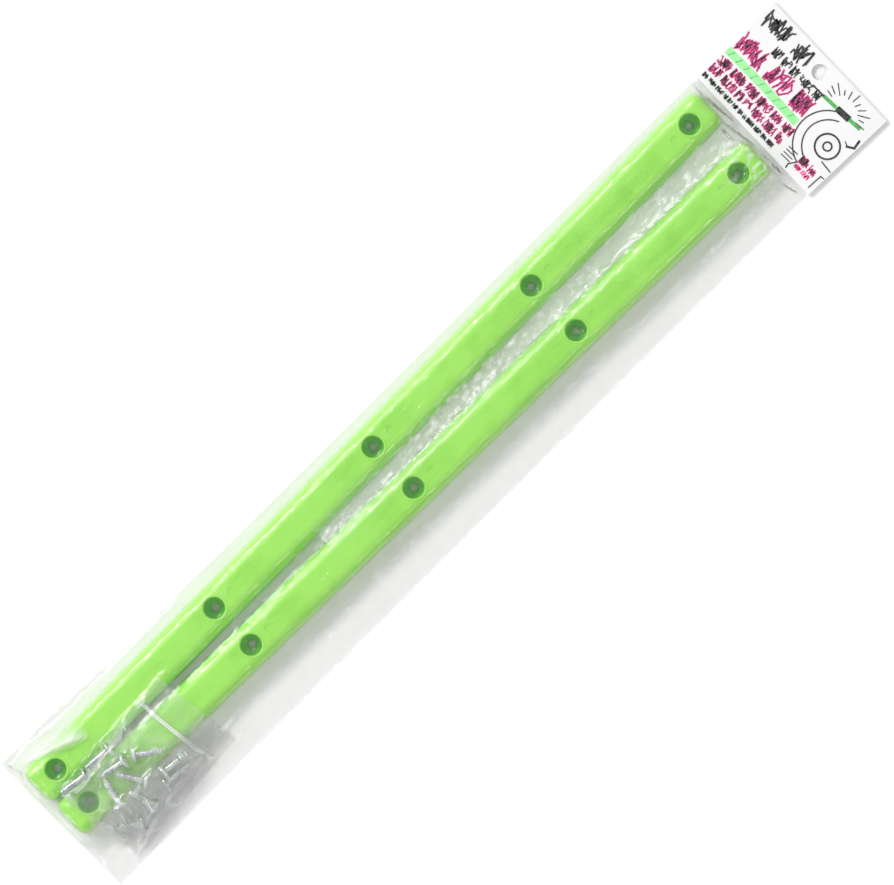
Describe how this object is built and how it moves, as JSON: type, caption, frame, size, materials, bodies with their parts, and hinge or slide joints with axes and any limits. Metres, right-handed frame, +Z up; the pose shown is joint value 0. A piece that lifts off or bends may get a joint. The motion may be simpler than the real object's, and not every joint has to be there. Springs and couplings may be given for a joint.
{
  "type": "pack of skateboard deck rails",
  "caption": "Two green plastic skateboard deck rails with screw holes, sealed in a clear hang bag with a small press-seal bag of wood screws and a folded header card.",
  "frame": {"origin": "centre of the bounding box's base, on the surface that the pack lies on", "axes": "+X along the rails from the bag's closed end to the card, +Y across the rails towards the upper rail, +Z up from the surface"},
  "size_m": [0.4179, 0.0666, 0.0188],
  "materials": {
    "rail_plastic": "waxy lime green polyethylene, satin",
    "clear_film": "thin clear polypropylene film, glossy and creased",
    "frosted_film": "slightly cloudy polyethylene film",
    "zip_plastic": "white translucent polyethylene",
    "printed_card": null,
    "zinc_plate": "bright zinc plate"
  },
  "bodies": {
    "bag": {"bag_front": "clear_film", "bag_back": "clear_film"},
    "header": {"header_card": "printed_card", "bag_neck": "clear_film"},
    "upper_rail": {"upper_rail": "rail_plastic"},
    "lower_rail": {"lower_rail": "rail_plastic"},
    "screw_bag": {"screw_bag_back": "frosted_film", "screw_bag_front": "frosted_film", "zip_rib": "zip_plastic", "zip_groove": "zip_plastic", "screw_01": "zinc_plate", "screw_02": "zinc_plate", "screw_03": "zinc_plate", "screw_04": "zinc_plate", "screw_05": "zinc_plate", "screw_06": "zinc_plate", "screw_07": "zinc_plate", "screw_08": "zinc_plate", "screw_09": "zinc_plate", "screw_10": "zinc_plate"}
  },
  "joints": [
    {"name": "header_fold", "type": "hinge", "parent": "bag", "child": "header", "pos_m": [0.165, 0, 0.00175], "axis": [0, -1, 0], "range_deg": [0, 75]},
    {"name": "upper_rail_slide", "type": "slide", "parent": "bag", "child": "upper_rail", "axis": [1, 0.0086, 0], "range_m": [-0.0015, 0.0005]},
    {"name": "lower_rail_slide", "type": "slide", "parent": "bag", "child": "lower_rail", "axis": [0.9999, -0.0165, 0], "range_m": [-0.0015, 0.0005]},
    {"name": "screw_bag_slide", "type": "slide", "parent": "bag", "child": "screw_bag", "axis": [1, 0, 0], "range_m": [0, 0.003]}
  ]
}
